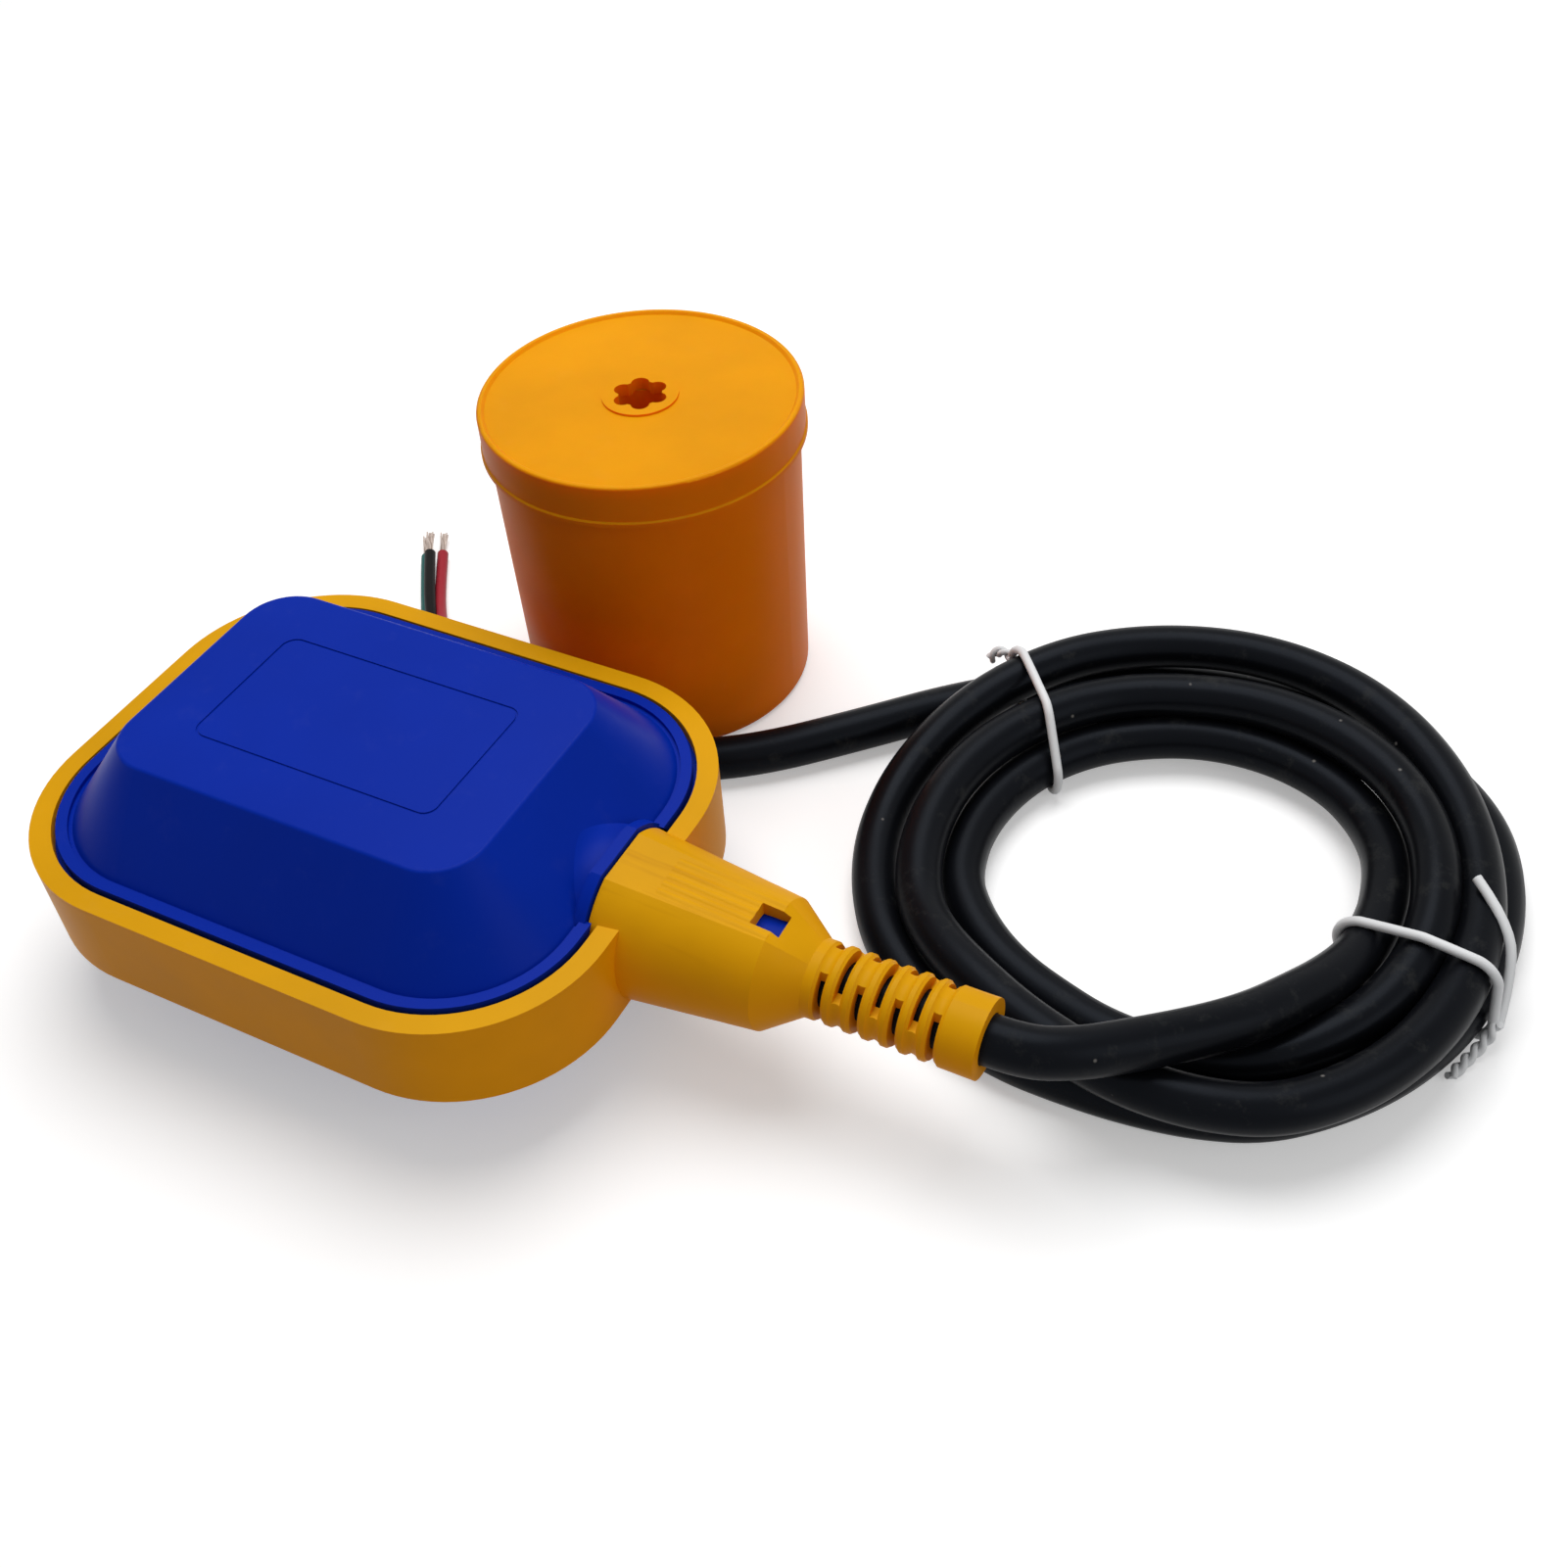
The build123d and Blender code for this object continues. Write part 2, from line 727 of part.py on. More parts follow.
# Trough that guides the ball towards the lever
with BuildPart() as ball_trough:
    with BuildSketch(float_level(shell_wall)):
        with Locations((trough_start, 0)):
            Rectangle(
                trough_end - trough_start,
                2 * (trough_half_width + trough_wall),
                align=(Align.MIN, Align.CENTER),
            )
    extrude(amount=trough_height)
    with BuildSketch(float_level(shell_wall + trough_floor)):
        with Locations((trough_start + trough_wall, 0)):
            Rectangle(
                trough_end - trough_start, 2 * trough_half_width, align=(Align.MIN, Align.CENTER)
            )
    extrude(amount=trough_height, mode=Mode.SUBTRACT)
    fillet(ball_trough.edges().filter_by(Axis.Z), trough_wall / 3)
finish(ball_trough, "ball_trough")

with BuildPart() as steel_ball:
    with BuildSketch(ball_side):
        Circle(ball_radius)
        Rectangle(
            2 * ball_radius, 2 * ball_radius, align=(Align.CENTER, Align.MIN), mode=Mode.INTERSECT
        )
    revolve(axis=Axis(ball_side.origin, (1, 0, 0)))
finish(steel_ball, "steel_ball")

# Counterweight cup with a tube for the cable through its middle
with BuildPart() as weight_cup:
    with BuildSketch(weight_side):
        Polygon(
            (weight_bore_radius, 0),
            (cup_foot_radius, 0),
            (cup_top_radius, cup_top),
            (cup_top_radius - cup_wall, cup_top),
            (cup_foot_radius - cup_wall, cup_floor),
            (weight_bore_radius + tube_wall, cup_floor),
            (weight_bore_radius + tube_wall, cup_top),
            (weight_bore_radius, cup_top),
            align=None,
        )
    revolve(axis=weight_axis)
    fillet(weight_cup.faces().sort_by(Axis.Z)[0].outer_wire().edges(), cup_foot_round)
finish(weight_cup, "weight_cup")

# Lid: skirt over the cup, dished top and a ring of springy teeth that grip the cable
with BuildPart() as weight_lid:
    with BuildSketch(weight_side):
        Polygon(
            (0, weight_height - lid_top_thickness),
            (lid_radius - lid_skirt_wall, weight_height - lid_top_thickness),
            (lid_radius - lid_skirt_wall, lid_low),
            (lid_radius, lid_low),
            (lid_radius, lid_low + lid_lip_height),
            (lid_radius - lid_lip_rise, lid_low + lid_lip_height + lid_lip_rise),
            (lid_radius - lid_lip_rise, weight_height),
            (lid_radius - lid_rim_width, weight_height),
            (lid_radius - lid_rim_width - lid_dish_depth, weight_height - lid_dish_depth),
            (0, weight_height - lid_dish_depth),
            align=None,
        )
    revolve(axis=weight_axis)
    fillet(weight_lid.faces().sort_by(Axis.Z)[-1].outer_wire().edges(), lid_edge_round)
    with BuildSketch(weight_level(weight_height - lid_dish_depth)):
        Circle(star_ring_radius)
    extrude(amount=star_ring_rise)
    fillet(weight_lid.faces().sort_by(Axis.Z)[-1].edges(), star_ring_rise / 2)
    with BuildSketch(weight_level(weight_height - lid_top_thickness)):
        Circle(star_tip_radius)
        with PolarLocations(star_lobe_pitch, star_lobes):
            Circle(star_lobe_radius)
    extrude(amount=lid_top_thickness + star_ring_rise, mode=Mode.SUBTRACT)
finish(weight_lid, "weight_lid")

# Ring of iron ballast on the cup's floor
with BuildPart() as weight_ballast:
    with BuildSketch(weight_level(cup_floor)):
        Circle(cup_foot_radius - cup_wall - ballast_clearance)
        Circle(weight_bore_radius + tube_wall + ballast_clearance, mode=Mode.SUBTRACT)
    extrude(amount=ballast_height)
    chamfer(weight_ballast.edges().filter_by(GeomType.CIRCLE), ballast_chamfer)
finish(weight_ballast, "weight_ballast")


def float_point(x, y, z):
    """A point given from the float's middle, in the part's own frame."""
    return Vector(float_x + x, float_y + y, z)


def cord_path(points):
    """The corner radii that a free cord takes on this route."""
    runs = [b - a for a, b in zip(points, points[1:])]
    radii = []
    for before, after in zip(runs, runs[1:]):
        half_turn = radians(before.get_angle(after)) / 2
        radii.append(cord_share * min(before.length, after.length) / tan(half_turn))
    return radii


def cord(name, points, radius):
    """A round cord along straight runs joined by tangent arcs."""
    radii = cord_path(points)
    with BuildPart() as tube:
        with BuildLine():
            route = FilletPolyline(*points, radius=radii)
        with BuildSketch(Plane(origin=route @ 0, z_dir=route % 0)):
            Circle(radius)
        sweep()
    share = tube.part.volume / (pi * radius**2 * route.length)
    print(name, "length", round(route.length, 1), "volume share", round(share, 4))
    print("radii", [round(r, 1) for r in radii])
    finish(tube, name)


# Lead from the strain relief onto the coil
cord("cable_lead", [float_point(*point) for point in lead_route], cable_radius)

# Coil: the closed outer form of its turns, grooved for the two ties
coil_side = Plane(
    origin=(float_x + coil_x, float_y + coil_y, 0), x_dir=(1, 0, 0), z_dir=(0, -1, 0)
)
coil_axis = Axis(coil_side.origin, (0, 0, 1))


def tie_ring(angle):
    """A flat tie round the coil's turns at this angle round the coil."""
    direction = (cos(radians(angle)), sin(radians(angle)), 0)
    section = Plane(
        origin=coil_side.origin,
        x_dir=direction,
        z_dir=(direction[1], -direction[0], 0),
    )
    width = coil_outer_radius - coil_inner_radius
    with BuildPart() as ring:
        with BuildSketch(section):
            with Locations(((coil_outer_radius + coil_inner_radius) / 2, 0)):
                with Locations((0, tie_thickness + (coil_height - tie_thickness) / 2)):
                    RectangleRounded(
                        width + 2 * tie_thickness,
                        coil_height + tie_thickness,
                        coil_round + tie_thickness,
                    )
                    RectangleRounded(
                        width, coil_height - tie_thickness, coil_round, mode=Mode.SUBTRACT
                    )
        extrude(amount=tie_width / 2, both=True)
    return ring.part


with BuildPart() as cable_coil:
    with BuildSketch(coil_side):
        with Locations(((coil_outer_radius + coil_inner_radius) / 2, coil_height / 2)):
            RectangleRounded(coil_outer_radius - coil_inner_radius, coil_height, coil_round)
    revolve(axis=coil_axis)
    for angle in tie_angles.values():
        add(tie_ring(angle), mode=Mode.SUBTRACT)
finish(cable_coil, "cable_coil")

for tie_name, angle in tie_angles.items():
    with BuildPart() as tie:
        add(tie_ring(angle))
    finish(tie, tie_name)

# Tail of the cable along the floor, behind the float
cord("cable_tail", [float_point(x, y, tail_height) for x, y in tail_route], cable_radius)

# Stripped cores with their bare ends
for core_name, core_route in core_routes.items():
    points = [float_point(*point) for point in core_route]
    cord(core_name, points, core_diameter / 2)
    last_run = (points[-1] - points[-2]).normalized()
    with BuildPart() as strands:
        with BuildSketch(Plane(origin=points[-1], z_dir=last_run)):
            Circle(strand_radius)
        extrude(amount=strand_length)
    finish(strands, core_name.replace("core", "strands"))
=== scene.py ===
"""Dresses the cable float switch: its cable, cores and ties, every finish, and the studio."""
import json
from math import cos, pi, radians, sin

import bmesh
import bpy
from bpy.props import FloatProperty, FloatVectorProperty, IntProperty, PointerProperty
from mathutils import Matrix, Vector

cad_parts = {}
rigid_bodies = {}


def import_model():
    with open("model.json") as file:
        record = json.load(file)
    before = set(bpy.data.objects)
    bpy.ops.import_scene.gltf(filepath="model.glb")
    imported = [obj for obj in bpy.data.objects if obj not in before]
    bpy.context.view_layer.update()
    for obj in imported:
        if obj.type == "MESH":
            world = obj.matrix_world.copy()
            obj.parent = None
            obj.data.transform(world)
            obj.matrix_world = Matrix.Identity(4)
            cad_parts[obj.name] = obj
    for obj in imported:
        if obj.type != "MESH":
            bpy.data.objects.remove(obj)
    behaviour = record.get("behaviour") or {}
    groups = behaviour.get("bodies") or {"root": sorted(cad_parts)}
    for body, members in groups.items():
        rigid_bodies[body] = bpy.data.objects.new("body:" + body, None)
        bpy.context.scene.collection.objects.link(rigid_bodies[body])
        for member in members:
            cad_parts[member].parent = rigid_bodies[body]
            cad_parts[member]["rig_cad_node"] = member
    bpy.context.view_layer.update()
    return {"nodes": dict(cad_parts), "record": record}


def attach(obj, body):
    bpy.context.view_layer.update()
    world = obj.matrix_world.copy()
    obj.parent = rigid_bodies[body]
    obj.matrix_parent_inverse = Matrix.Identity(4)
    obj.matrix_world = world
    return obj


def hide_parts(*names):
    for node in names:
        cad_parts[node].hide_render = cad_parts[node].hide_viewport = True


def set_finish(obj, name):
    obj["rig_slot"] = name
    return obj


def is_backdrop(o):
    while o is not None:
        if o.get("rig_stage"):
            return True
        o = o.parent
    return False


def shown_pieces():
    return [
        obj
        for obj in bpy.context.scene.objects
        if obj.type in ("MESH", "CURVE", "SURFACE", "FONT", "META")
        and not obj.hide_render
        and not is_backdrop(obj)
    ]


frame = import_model()

bl_info = {
    "name": "Cable Float Switch",
    "version": (1, 0, 0),
    "blender": (4, 5, 0),
    "location": "3D View > Sidebar > Float Switch",
    "description": "Adds the cable, its cores and ties, and the finishes of a cable float switch",
    "category": "Object",
}

MM = 0.001
BODY = "housing"

# Places in the frame, in millimetres from the middle of the float
FLOAT_X = -27.0
FLOAT_Y = -32.7
COIL_X = 117.5
COIL_Y = 57.0

# Route of the cable: the lead out of the strain relief and the tail behind the float
LEAD_ROUTE = (
    (105.0, 0.0, 22.0),
    (110.5, 0.0, 22.0),
    (116.5, 3.2, 21.2),
    (122.0, 8.4, 19.6),
)
TAIL_ROUTE = (
    (66.0, 82.5),
    (52.6, 68.6),
    (38.0, 54.4),
    (24.0, 46.4),
    (8.0, 42.6),
    (-8.0, 42.4),
    (-21.5, 46.0),
    (-30.5, 53.5),
)
TAIL_HEIGHT = 4.0

# Turns of the coil: angle round it in degrees, radius and height, where they change
COIL_TURNS = (
    (289, 41.5, 17.0),
    (309, 34.9, 14.4),
    (325, 32.6, 12.2),
    (345, 31.0, 10.0),
    (369, 30.6, 8.6),
    (400, 32.8, 6.4),
    (425, 34.1, 5.4),
    (450, 33.7, 5.4),
    (480, 33.4, 5.3),
    (535, 36.2, 4.2),
    (565, 37.6, 4.0),
    (610, 34.6, 4.0),
    (637, 36.5, 4.5),
    (661, 40.0, 7.4),
    (680, 40.1, 9.3),
    (700, 39.6, 11.2),
    (729, 37.8, 13.2),
    (750, 37.9, 13.0),
    (770, 38.0, 12.8),
    (830, 37.7, 11.4),
    (870, 39.9, 10.8),
    (912, 43.4, 9.2),
    (935, 45.4, 8.2),
    (950, 45.2, 10.4),
    (962, 45.0, 11.6),
    (980, 46.0, 11.8),
    (997, 48.8, 11.8),
    (1009, 50.6, 11.7),
    (1022, 51.8, 11.6),
    (1040, 49.7, 11.6),
    (1065, 46.5, 11.8),
    (1089, 44.7, 11.4),
    (1110, 45.0, 11.6),
    (1130, 46.6, 12.0),
    (1150, 48.9, 12.4),
    (1170, 50.1, 12.6),
    (1215, 50.0, 12.3),
    (1240, 50.5, 9.8),
    (1265, 52.4, 4.8),
    (1298, 51.7, 4.0),
    (1318, 49.9, 4.0),
    (1332, 48.2, 4.0),
    (1345, 46.4, 4.0),
    (1355, 46.0, 4.0),
    (1367, 46.4, 4.0),
    (1378, 47.6, 4.0),
    (1396, 46.8, 4.0),
    (1413, 46.6, 4.0),
    (1430, 47.2, 4.0),
    (1449, 48.6, 4.0),
    (1463, 50.4, 4.0),
    (1476, 52.0, 4.0),
    (1490, 52.0, 4.0),
    (1510, 49.8, 4.0),
    (1530, 48.4, 4.0),
    (1550, 48.6, 4.0),
    (1566, 50.4, 4.0),
    (1576, 52.2, 4.0),
)
COIL_STEP = 12

# Ties round the coil: the angle of each, how far it leans inwards and bows between its ends, both
# in degrees, and the points (angle, radius, height) of its twisted ends and of its loose tail
TIES = {
    "tie_back": {
        "angle": 144.0,
        "lean": 12.0,
        "bow": -3.0,
        "twist": (
            (144.0, 54.4, 12.2),
            (144.6, 56.4, 12.6),
            (145.4, 58.0, 11.6),
            (146.0, 58.8, 9.6),
        ),
        "tail": (),
    },
    "tie_front": {
        "angle": 349.2,
        "lean": -2.8,
        "bow": 0.0,
        "twist": ((349.0, 52.4, 5.2), (347.6, 52.1, 2.2), (343.6, 51.4, 1.2), (337.5, 51.3, 1.2)),
        "tail": ((349.8, 52.6, 3.6), (355.6, 51.6, 9.4), (1.2, 49.0, 15.0), (9.2, 43.0, 16.8)),
    },
}

# Cores out of the stripped end of the cable, by colour
CORE_ROUTES = {
    "black": (
        (-30.5, 53.5, 2.6),
        (-36.6, 59.6, 2.6),
        (-42.6, 66.8, 3.0),
        (-48.2, 74.6, 3.3),
        (-52.9, 81.6, 3.4),
    ),
    "red": (
        (-29.7, 54.5, 4.8),
        (-35.2, 61.2, 3.6),
        (-41.2, 68.0, 1.8),
        (-47.1, 76.4, 1.2),
        (-52.2, 84.6, 1.3),
    ),
    "green": (
        (-31.3, 52.5, 4.8),
        (-38.0, 58.6, 2.6),
        (-43.5, 66.4, 1.3),
        (-49.6, 74.8, 1.2),
        (-54.8, 82.4, 1.2),
    ),
}

# Bare wires at the end of each core: the turn from one wire to the next, in radians, the widest
# offset from the core's middle, in millimetres, and how far their tips spread and swirl
WIRE_TURN = 2.4
WIRE_OFFSET = 0.62
WIRE_FLARE = 0.9
WIRE_SWIRL = 0.9
WIRE_TIP_SPREAD = 1.25
WIRE_SHORTEST = 0.86
WIRE_RADIUS = 0.16
WIRE_REACH = 7.0

# Floor: half its side in metres, its gap under the object, and where its glow grows, in metres
FLOOR_HALF = 3.0
FLOOR_GAP = 0.2
GLOW_FROM = 0.25
GLOW_TO = 1.2

# Lamps, in millimetres: place, point aimed at and diameter
LAMP_TARGET = (20, 10, 10)
KEY_PLACE = (-60, 160, 520)
KEY_SIZE = 480
FILL_PLACE = (460, -60, 240)
FILL_SIZE = 300

# Camera, from the photograph's view
CAMERA_PLACE = (132.08, -179.39, 226.41)
CAMERA_AZIMUTH = 29.896
CAMERA_PITCH = 44.427
CAMERA_ROLL = -4.148
CAMERA_LENS = 41.135
CAMERA_SENSOR = 36.0


def place(x, y, z):
    """A point from the middle of the float, in millimetres, as a point of the frame in metres."""
    return Vector(((FLOAT_X + x) * MM, (FLOAT_Y + y) * MM, z * MM))


def coil_place(angle, radius, height):
    """A point of the coil: angle round it in degrees, radius and height in millimetres."""
    return place(
        COIL_X + radius * cos(radians(angle)), COIL_Y + radius * sin(radians(angle)), height
    )


def remove_default_scene():
    """Take out the objects that a new file holds, apart from the frame's own."""
    for name in ("Cube", "Light", "Camera"):
        old = bpy.data.objects.get(name)
        if old is not None:
            bpy.data.objects.remove(old, do_unlink=True)


class CableSettings(bpy.types.PropertyGroup):
    """Sizes of the cable and its cores."""

    diameter: FloatProperty(
        name="Cable diameter",
        description="Outer diameter of the rubber jacket",
        default=7.8 * MM,
        min=1.0 * MM,
        unit="LENGTH",
    )
    core_diameter: FloatProperty(
        name="Core diameter",
        description="Outer diameter of each insulated core",
        default=2.3 * MM,
        min=0.3 * MM,
        unit="LENGTH",
    )
    smoothness: IntProperty(
        name="Smoothness",
        description="Steps along the cable between two of its control points",
        default=8,
        min=2,
        max=24,
    )
    wire_count: IntProperty(
        name="Wires",
        description="Fine copper wires in the bare end of each core",
        default=12,
        min=3,
        max=24,
    )


class TieSettings(bpy.types.PropertyGroup):
    """Sizes of the wire ties round the coil."""

    thickness: FloatProperty(
        name="Tie thickness",
        description="Thickness of the coated wire",
        default=1.6 * MM,
        min=0.5 * MM,
        unit="LENGTH",
    )
    end_thickness: FloatProperty(
        name="End thickness",
        description="Thickness of the wire where its ends are twisted tight",
        default=1.1 * MM,
        min=0.3 * MM,
        unit="LENGTH",
    )
    twist_pitch: FloatProperty(
        name="Twist pitch",
        description="Length of one turn of the twisted ends",
        default=5.0 * MM,
        min=1.0 * MM,
        unit="LENGTH",
    )


class FinishSettings(bpy.types.PropertyGroup):
    """Colours of the pieces that show."""

    yellow: FloatVectorProperty(
        name="Surround",
        description="Colour of the yellow moulding",
        subtype="COLOR",
        default=(0.72, 0.345, 0.003),
        min=0.0,
        max=1.0,
    )
    blue: FloatVectorProperty(
        name="Capsule",
        description="Colour of the blue covers",
        subtype="COLOR",
        default=(0.001, 0.021, 0.33),
        min=0.0,
        max=1.0,
    )
    orange: FloatVectorProperty(
        name="Counterweight",
        description="Colour of the counterweight",
        subtype="COLOR",
        default=(0.74, 0.29, 0.001),
        min=0.0,
        max=1.0,
    )
    jacket: FloatVectorProperty(
        name="Cable jacket",
        description="Colour of the rubber jacket",
        subtype="COLOR",
        default=(0.0030, 0.0033, 0.0044),
        min=0.0,
        max=1.0,
    )


class StudioSettings(bpy.types.PropertyGroup):
    """Levels of the studio light."""

    key_power: FloatProperty(
        name="Key power",
        description="Power of the large lamp overhead, in watts",
        default=2.45,
        min=0.0,
    )
    fill_power: FloatProperty(
        name="Fill power",
        description="Power of the lamp on the right, in watts",
        default=0.32,
        min=0.0,
    )
    world_level: FloatProperty(
        name="World level",
        description="Brightness of the surroundings as they light the object",
        default=0.28,
        min=0.0,
    )


# Colours that the finishes share
SCUFF_COLOUR = (0.10, 0.10, 0.09, 1.0)
DUST_COLOUR = (0.16, 0.15, 0.14, 1.0)
MARK_COLOUR = (0.62, 0.45, 0.3, 1.0)
# Painted shade: darker, redder colours that steep sides get in place of the light they lack
YELLOW_SIDE_SHADE = (0.84, 0.32, 0.001)
ORANGE_SIDE_SHADE = (0.88, 0.185, 0.0004)


# Shader helpers


def new_material(name):
    """A material with a Principled shader, and its node tree."""
    material = bpy.data.materials.new(name)
    material.use_nodes = True
    tree = material.node_tree
    tree.nodes.clear()
    output = tree.nodes.new("ShaderNodeOutputMaterial")
    shader = tree.nodes.new("ShaderNodeBsdfPrincipled")
    tree.links.new(shader.outputs["BSDF"], output.inputs["Surface"])
    return material, tree, shader


def new_group(name, inputs, outputs):
    """An empty shader group with named sockets: (name, type, default)."""
    group = bpy.data.node_groups.new(name, "ShaderNodeTree")
    for label, kind, value in inputs:
        socket = group.interface.new_socket(label, in_out="INPUT", socket_type=kind)
        if value is not None:
            socket.default_value = value
    for label, kind in outputs:
        group.interface.new_socket(label, in_out="OUTPUT", socket_type=kind)
    start = group.nodes.new("NodeGroupInput")
    end = group.nodes.new("NodeGroupOutput")
    return group, start, end


def place_group(tree, group, **values):
    """Put a group in a material with its own values. An underscore stands for a space."""
    node = tree.nodes.new("ShaderNodeGroup")
    node.node_tree = group
    coordinates = tree.nodes.new("ShaderNodeTexCoord")
    tree.links.new(coordinates.outputs["Object"], node.inputs["Vector"])
    for label, value in values.items():
        node.inputs[label.replace("_", " ")].default_value = value
    return node


def feed(tree, socket, value):
    """Give an input a link from another socket, or a plain value."""
    if isinstance(value, bpy.types.NodeSocket):
        tree.links.new(value, socket)
    else:
        socket.default_value = value


def math_node(tree, operation, *values):
    """The result of a Math node with these inputs."""
    node = tree.nodes.new("ShaderNodeMath")
    node.operation = operation
    for socket, value in zip(node.inputs, values):
        feed(tree, socket, value)
    return node.outputs["Value"]


def map_range(tree, value, low, high, start=0.0, end=1.0):
    """A value mapped from one range to another."""
    node = tree.nodes.new("ShaderNodeMapRange")
    for label, given in (
        ("Value", value),
        ("From Min", low),
        ("From Max", high),
        ("To Min", start),
        ("To Max", end),
    ):
        feed(tree, node.inputs[label], given)
    return node.outputs["Result"]


def mix_colours(tree, factor, first, second, blend="MIX"):
    """Two colours mixed by a factor."""
    node = tree.nodes.new("ShaderNodeMix")
    node.data_type = "RGBA"
    node.blend_type = blend
    for label, value in (("Factor", factor), ("A", first), ("B", second)):
        feed(tree, node.inputs[label], value)
    return node.outputs["Result"]


def noise(tree, vector, scale, detail, roughness=0.5):
    """A noise texture's level."""
    node = tree.nodes.new("ShaderNodeTexNoise")
    for label, value in (
        ("Vector", vector),
        ("Scale", scale),
        ("Detail", detail),
        ("Roughness", roughness),
    ):
        feed(tree, node.inputs[label], value)
    return node.outputs["Fac"]


def finish_shader(tree, shader, surface, colour, strength, distance):
    """Join a surface's colour, roughness and dents to the shader. The distance is in metres."""
    dents = tree.nodes.new("ShaderNodeBump")
    feed(tree, dents.inputs["Strength"], strength)
    feed(tree, dents.inputs["Distance"], distance)
    feed(tree, dents.inputs["Height"], surface.outputs["Height"])
    feed(tree, shader.inputs["Base Color"], colour)
    feed(tree, shader.inputs["Roughness"], surface.outputs["Roughness"])
    feed(tree, shader.inputs["Normal"], dents.outputs["Normal"])


def moulded_surface_group():
    """Moulded plastic: fine grain, slow waves, sparse scuffs and painted shade on steep sides."""
    group, start, end = new_group(
        "Moulded surface",
        (
            ("Vector", "NodeSocketVector", None),
            ("Colour", "NodeSocketColor", (0.5, 0.5, 0.5, 1.0)),
            ("Grain Scale", "NodeSocketFloat", 1500.0),
            ("Grain", "NodeSocketFloat", 0.3),
            ("Scuffs", "NodeSocketFloat", 0.2),
            ("Shade", "NodeSocketFloat", 0.12),
            ("Gloss", "NodeSocketFloat", 0.32),
            ("Side Colour", "NodeSocketColor", (0.5, 0.5, 0.5, 1.0)),
            ("Side", "NodeSocketFloat", 0.0),
        ),
        (
            ("Colour", "NodeSocketColor"),
            ("Roughness", "NodeSocketFloat"),
            ("Height", "NodeSocketFloat"),
        ),
    )
    given = start.outputs
    grain = noise(group, given["Vector"], given["Grain Scale"], 3.0)
    waves = noise(group, given["Vector"], 38.0, 4.0)
    scratches = noise(group, given["Vector"], 160.0, 8.0, 0.75)
    scuff = math_node(group, "MULTIPLY", map_range(group, scratches, 0.56, 0.72), given["Scuffs"])
    # Colour: slow shade changes, a little paler at the scuffs
    shade = map_range(group, waves, 0.3, 0.7, -1.0)
    amount = math_node(group, "MULTIPLY_ADD", shade, given["Shade"], 1.0)
    # Painted shade: steep sides get a darker, deeper colour than faces that look up
    slope = group.nodes.new("ShaderNodeSeparateXYZ")
    coordinates = group.nodes.new("ShaderNodeTexCoord")
    feed(group, slope.inputs["Vector"], coordinates.outputs["Normal"])
    steep = map_range(group, slope.outputs["Z"], 0.9, 0.1)
    depth = math_node(group, "MULTIPLY", steep, given["Side"])
    side_shaded = mix_colours(group, depth, given["Colour"], given["Side Colour"])
    tinted = group.nodes.new("ShaderNodeHueSaturation")
    feed(group, tinted.inputs["Color"], side_shaded)
    feed(group, tinted.inputs["Value"], amount)
    pale = mix_colours(group, scuff, tinted.outputs["Color"], SCUFF_COLOUR, "SCREEN")
    feed(group, end.inputs["Colour"], pale)
    # Roughness: grain and scuffs dull the gloss
    dull = math_node(group, "MULTIPLY_ADD", waves, 0.22, given["Gloss"])
    rough = math_node(group, "MULTIPLY_ADD", scuff, 0.8, dull)
    rough.node.use_clamp = True
    feed(group, end.inputs["Roughness"], rough)
    # Height: grain over slow waves
    height = math_node(group, "MULTIPLY", grain, given["Grain"])
    feed(group, end.inputs["Height"], math_node(group, "MULTIPLY_ADD", waves, 1.5, height))
    return group


def dust_group():
    """Specks of dust and lint: a sparse mask."""
    group, start, end = new_group(
        "Dust specks",
        (
            ("Vector", "NodeSocketVector", None),
            ("Amount", "NodeSocketFloat", 0.3),
            ("Speck Scale", "NodeSocketFloat", 420.0),
        ),
        (("Mask", "NodeSocketFloat"),),
    )
    given = start.outputs
    cells = group.nodes.new("ShaderNodeTexVoronoi")
    feed(group, cells.inputs["Vector"], given["Vector"])
    feed(group, cells.inputs["Scale"], given["Speck Scale"])
    size = map_range(group, cells.outputs["Distance"], 0.16, 0.06)
    chosen = group.nodes.new("ShaderNodeSeparateColor")
    feed(group, chosen.inputs["Color"], cells.outputs["Color"])
    rare = math_node(group, "LESS_THAN", chosen.outputs["Red"], given["Amount"])
    feed(group, end.inputs["Mask"], math_node(group, "MULTIPLY", size, rare))
    return group


